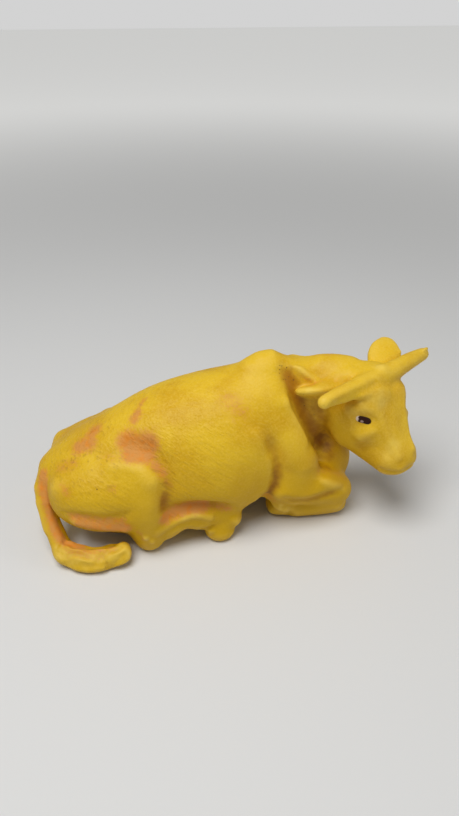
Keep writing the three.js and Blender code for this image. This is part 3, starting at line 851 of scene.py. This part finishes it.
# Patterns of the plastic: how fine they are, and how the hair leans and is drawn out
TONE_SCALE = 0.13
RAGGED_SCALE = 0.8
GRAIN_SCALE = 2.6
HAIR_SCALE = 1.1
HAIR_LEAN = math.radians(-38)
HAIR_STRETCH = (0.14, 1.0, 1.5)
LOW_SHADE_HEIGHTS = (26.0, 7.0)  # from the first height in mm to the second the yellow darkens: painted shade on the lower parts
# Convex edges turn paler: partly wear, partly painted highlight
EDGE_WEAR_AND_HIGHLIGHT = 0.5
# Painted shade: how far the hollows are darkened towards ochre
HOLLOW_SHADE = 0.4
SKIN_SHINE = 0.22
BUMP_STRENGTH = 0.8
BUMP_DEPTH = 0.13  # in mm
EYE_SHINE = 0.15
EYE_ROUGHNESS = 0.55
EYE_GRAIN_SCALE = 3.0
WHITE_CORNER = (-0.56, -0.7)  # from the first place along the eye to the second its dark turns white
GLINT = ((-0.12, 3.6), (0.4, 2.4))  # its middle along the eye and how narrow it is, then the same across


def colour(red, green, blue):
    """A colour as it shows on a screen, from 0 to 255, as the shader takes it."""
    def linear(value):
        value /= 255
        return value / 12.92 if value <= 0.04045 else ((value + 0.055) / 1.055) ** 2.4
    return (linear(red), linear(green), linear(blue), 1.0)


YELLOW = colour(230, 188, 36)
YELLOW_DEEP = colour(214, 166, 20)
# Painted shade: the darker, deeper yellow of the lower parts
YELLOW_SHADED_LOW = colour(206, 162, 0)
YELLOW_PALE = colour(240, 204, 84)
CREAM = colour(242, 212, 100)
OCHRE = colour(164, 106, 12)
BROWN = colour(124, 72, 10)
ORANGE = colour(222, 130, 46)
ROSE = colour(212, 140, 72)
UMBER = colour(116, 70, 36)
EYE_DARK = colour(50, 22, 14)
EYE_WHITE = colour(232, 212, 190)
EYE_GLINT = colour(186, 158, 150)


class Surface:
    """A material with a Principled shader, and short ways to add nodes to it."""

    def __init__(self, name):
        self.material = bpy.data.materials.new(name)
        self.material.use_nodes = True
        self.tree = self.material.node_tree
        self.shader = self.tree.nodes["Principled BSDF"]
        place = self.node("ShaderNodeTexCoord").outputs["Object"]
        in_mm = self.node("ShaderNodeVectorMath", place, (1 / MM,) * 3, operation="MULTIPLY")
        self.place = in_mm.outputs[0]

    def node(self, kind, *inputs, **settings):
        made = self.tree.nodes.new(kind)
        for key, value in settings.items():
            setattr(made, key, value)
        for socket, value in zip(made.inputs, inputs):
            if isinstance(value, bpy.types.NodeSocket):
                self.tree.links.new(value, socket)
            elif value is not None:
                socket.default_value = value
        return made

    def math(self, operation, a, b, c=0.0):
        return self.node("ShaderNodeMath", a, b, c, operation=operation).outputs[0]

    def plus(self, a, b):
        return self.math("ADD", a, b)

    def times(self, a, b):
        return self.math("MULTIPLY", a, b)

    def times_plus(self, a, b, c):
        return self.math("MULTIPLY_ADD", a, b, c)

    def layer(self, name):
        return self.node("ShaderNodeAttribute", attribute_name=name).outputs["Fac"]

    def noise(self, place, scale, detail=2.0):
        return self.node("ShaderNodeTexNoise", place, None, scale, detail).outputs[0]

    def ramp(self, value, low, high, top=1.0):
        """Rises smoothly from 0 to top while the value goes from low to high."""
        made = self.node("ShaderNodeMapRange", value, low, high, 0.0, top,
                         interpolation_type="SMOOTHSTEP")
        return made.outputs[0]

    def blend(self, factor, a, b):
        """Colour a where the factor is 0, and colour b where it is 1."""
        made = self.node("ShaderNodeMix", data_type="RGBA")
        for socket, value in ((made.inputs[0], factor), (made.inputs[6], a), (made.inputs[7], b)):
            if isinstance(value, bpy.types.NodeSocket):
                self.tree.links.new(value, socket)
            else:
                socket.default_value = value
        return made.outputs[2]

    def use(self, socket, value):
        self.tree.links.new(value, self.shader.inputs[socket])


def hair_lines(surface):
    """Fine lines that lie back and down along the body, alike on both sides."""
    turned = surface.node("ShaderNodeVectorRotate", surface.place, (0, 0, 0), (0, 1, 0), HAIR_LEAN,
                          rotation_type="AXIS_ANGLE").outputs[0]
    drawn_out = surface.node("ShaderNodeVectorMath", turned, HAIR_STRETCH, operation="MULTIPLY")
    return surface.noise(drawn_out.outputs[0], HAIR_SCALE)


def specks(surface, scale, share, half_width):
    """Small round specks: one in each of a share of the cells of a pattern."""
    cells = surface.node("ShaderNodeTexVoronoi", surface.place, None, scale)
    chosen = surface.node("ShaderNodeSeparateColor", cells.outputs["Color"]).outputs[0]
    there = surface.math("LESS_THAN", chosen, share)
    dot = surface.ramp(cells.outputs["Distance"], half_width, 0.5 * half_width, top=0.7)
    return surface.times(there, dot)


def skin_surface():
    surface = Surface("yellow_plastic_skin")
    place = surface.place
    tone = surface.noise(place, TONE_SCALE, 3.0)
    grain = surface.noise(place, GRAIN_SCALE, 3.0)
    ragged = surface.noise(place, RAGGED_SCALE, 4.0)
    hair = hair_lines(surface)

    # The plastic: a deeper tone in patches, painted shade low down, paler grain kept to the top as painted
    # sheen, and paler edges and worn places that are partly painted highlight
    base = surface.blend(surface.ramp(tone, 0.38, 0.66), YELLOW, YELLOW_DEEP)
    height = surface.node("ShaderNodeSeparateXYZ", place).outputs["Z"]
    # Painted shade: lower down, the yellow turns darker and deeper
    low = surface.ramp(height, *LOW_SHADE_HEIGHTS, top=0.95)
    base = surface.blend(low, base, YELLOW_SHADED_LOW)
    # Painted sheen: the paler grain is kept mostly to the upper parts
    high = surface.times_plus(low, -0.8, 1.0)
    pale_grain_and_sheen = surface.times(surface.ramp(grain, 0.35, 0.75, top=0.35), high)
    base = surface.blend(pale_grain_and_sheen, base, YELLOW_PALE)
    # Paler convex edges, partly wear and partly painted highlight
    base = surface.blend(surface.times(surface.layer("edge"), EDGE_WEAR_AND_HIGHLIGHT), base, YELLOW_PALE)
    # Worn places and painted highlights turn cream
    rubbed_and_lit = surface.times_plus(ragged, 0.6, surface.plus(surface.layer("worn_and_highlight"), -0.3))
    base = surface.blend(surface.ramp(rubbed_and_lit, 0.1, 0.9, top=0.7), base, CREAM)
    # Painted shade: the hollows of the skin darken towards ochre
    base = surface.blend(surface.times(surface.layer("hollow_shade"), HOLLOW_SHADE), base, OCHRE)

    # Old paint with a speckled border, stains of dirt and painted shade with an uneven one, and dark strokes
    # of the hair
    speckled = surface.times_plus(grain, 0.9, surface.times_plus(ragged, 0.5, -0.7))
    paint = surface.ramp(surface.plus(surface.layer("paint"), speckled), 0.2, 0.95, top=0.85)
    paint_tone = surface.blend(surface.ramp(ragged, 0.28, 0.6), ORANGE, ROSE)
    base = surface.blend(paint, base, paint_tone)
    uneven = surface.times_plus(ragged, 0.45, surface.times_plus(hair, 0.3, -0.37))
    # Dirt and painted shade darken the folds: ochre, and brown where they are deepest
    for layer, start, tint in (("dirt_and_shade", 0.15, OCHRE), ("deepest_dirt_and_shade", 0.2, BROWN)):
        stain_and_shade = surface.ramp(surface.plus(surface.layer(layer), uneven), start, 1.0, top=0.9)
        base = surface.blend(stain_and_shade, base, tint)
    strokes = surface.times(surface.ramp(hair, 0.54, 0.72, top=0.38), surface.layer("hair_strokes"))
    base = surface.blend(strokes, base, UMBER)

    # A few specks everywhere, and many where the mould left pits
    pitted = surface.times(surface.layer("pits"), 0.7)
    speck = surface.math("MAXIMUM", specks(surface, scale=0.85, share=0.015, half_width=0.15),
                         specks(surface, scale=1.9, share=pitted, half_width=0.32))
    surface.use("Base Color", surface.blend(speck, base, UMBER))

    dull = surface.times_plus(paint, 0.12, surface.times_plus(grain, 0.16, 0.4))
    surface.use("Roughness", dull)
    surface.shader.inputs["Specular IOR Level"].default_value = SKIN_SHINE

    lines = surface.times(surface.ramp(hair, 0.35, 0.65), surface.layer("hair"))
    relief = surface.times_plus(grain, 0.6, surface.times(lines, 0.6))
    relief = surface.times_plus(ragged, 0.9, relief)
    relief = surface.math("SUBTRACT", relief, speck)
    bump = surface.node("ShaderNodeBump")
    bump.inputs["Strength"].default_value = BUMP_STRENGTH
    bump.inputs["Distance"].default_value = BUMP_DEPTH * MM
    surface.tree.links.new(relief, bump.inputs["Height"])
    surface.use("Normal", bump.outputs[0])
    return surface.material


def eye_surface():
    surface = Surface("painted_eye_skin")
    u, v = surface.layer("eye_u"), surface.layer("eye_v")
    ragged = surface.times_plus(surface.noise(surface.place, EYE_GRAIN_SCALE), 0.5, -0.25)
    corner = surface.ramp(surface.plus(u, ragged), *WHITE_CORNER)
    base = surface.blend(corner, EYE_DARK, EYE_WHITE)
    squares = []
    for value, (middle, narrow) in zip((u, v), GLINT):
        away = surface.times(surface.math("SUBTRACT", value, middle), narrow)
        squares.append(surface.math("POWER", away, 2.0))
    glint = surface.ramp(surface.plus(surface.plus(*squares), ragged), 0.8, 0.3, top=0.8)
    surface.use("Base Color", surface.blend(glint, base, EYE_GLINT))
    surface.shader.inputs["Roughness"].default_value = EYE_ROUGHNESS
    surface.shader.inputs["Specular IOR Level"].default_value = EYE_SHINE
    return surface.material


skin_material = skin_surface()
for index, name in enumerate(names):
    faces = quads[owner == index]
    piece = bpy.data.objects.new(name + "_skin", piece_mesh(name + "_skin", faces))
    bpy.context.scene.collection.objects.link(piece)
    piece.data.materials.append(skin_material)
    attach(piece, "root")
    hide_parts(name)

eye_material = eye_surface()
for hand, side in (("right", -1), ("left", 1)):
    piece = eye_piece(hand, side)
    bpy.context.scene.collection.objects.link(piece)
    piece.data.materials.append(eye_material)
    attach(piece, "root")
    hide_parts("eye_" + hand)


# Stage, lights and camera

FLOOR_HALF = 2  # in m, as the lamps below
FLOOR_COLOUR = (0.72, 0.72, 0.71, 1)
FLOOR_ROUGHNESS = 0.8
FLOOR_GLOW_COLOUR = (1, 1, 0.98, 1)
FLOOR_GLOW = (130.0, 600.0, 0.45)  # the distances in mm where it starts and is full, and its strength
ROOM_LIGHT = 0.2  # how bright the room is for the figure, and how bright the camera sees it
ROOM_SEEN = 0.65
# Round lamps: name, place, aim, width, power in W
LAMPS = [
    ("key", (-0.10, -0.09, 0.38), (0, 0, 0.015), 0.26, 1.25),
    ("fill", (0.34, -0.14, 0.16), (0, 0, 0.015), 0.2, 0.17),
]
# The camera's place in mm in the animal's own frame, its angles in degrees, and its film and lens in mm
CAMERA_AT = (-19.833, -102.053, 92.0)
CAMERA_TILT = 56.6
CAMERA_TURN = -11
FILM_HEIGHT = 36
LENS = 28
NEAREST_SEEN = 0.005  # in m


def stage_floor():
    mesh = bpy.data.meshes.new("floor")
    square = ((-1, -1), (1, -1), (1, 1), (-1, 1))
    mesh.from_pydata([(FLOOR_HALF * x, FLOOR_HALF * y, 0) for x, y in square], [], [(0, 1, 2, 3)])
    floor = bpy.data.objects.new("floor", mesh)
    bpy.context.scene.collection.objects.link(floor)
    surface = Surface("floor_paper")
    surface.shader.inputs["Base Color"].default_value = FLOOR_COLOUR
    surface.shader.inputs["Roughness"].default_value = FLOOR_ROUGHNESS
    # Far from the figure, where the lamps don't reach, the camera sees the floor as pale as near it
    away = surface.node("ShaderNodeVectorMath", surface.place, operation="LENGTH").outputs["Value"]
    seen = surface.node("ShaderNodeLightPath").outputs["Is Camera Ray"]
    surface.shader.inputs["Emission Color"].default_value = FLOOR_GLOW_COLOUR
    surface.use("Emission Strength", surface.times(surface.ramp(away, *FLOOR_GLOW), seen))
    mesh.materials.append(surface.material)


def area_light(name, place, aim, size, power):
    light = bpy.data.lights.new(name, "AREA")
    light.shape = "DISK"
    light.size = size
    light.energy = power
    lamp = bpy.data.objects.new(name, light)
    lamp.location = place
    lamp.rotation_euler = (Vector(aim) - Vector(place)).to_track_quat("-Z", "Y").to_euler()
    bpy.context.scene.collection.objects.link(lamp)


def lights():
    world = bpy.data.worlds.new("studio")
    bpy.context.scene.world = world
    world.use_nodes = True
    shade = world.node_tree.nodes["Background"]
    shade.inputs["Color"].default_value = (1, 1, 1, 1)
    seen = world.node_tree.nodes.new("ShaderNodeLightPath").outputs["Is Camera Ray"]
    strength = world.node_tree.nodes.new("ShaderNodeMapRange")
    strength.inputs["To Min"].default_value = ROOM_LIGHT
    strength.inputs["To Max"].default_value = ROOM_SEEN
    world.node_tree.links.new(seen, strength.inputs["Value"])
    world.node_tree.links.new(strength.outputs[0], shade.inputs["Strength"])
    for lamp in LAMPS:
        area_light(*lamp)


def camera():
    data = bpy.data.cameras.new("camera")
    data.sensor_fit = "VERTICAL"
    data.sensor_height = FILM_HEIGHT
    data.lens = LENS
    data.clip_start = NEAREST_SEEN
    view = bpy.data.objects.new("camera", data)
    view.location = Vector((np.array(CAMERA_AT) + SHIFT) * MM)
    view.rotation_euler = (math.radians(CAMERA_TILT), 0, math.radians(CAMERA_TURN))
    bpy.context.scene.collection.objects.link(view)
    bpy.context.scene.camera = view


stage_floor()
lights()
camera()
bpy.context.scene.view_settings.view_transform = "Standard"
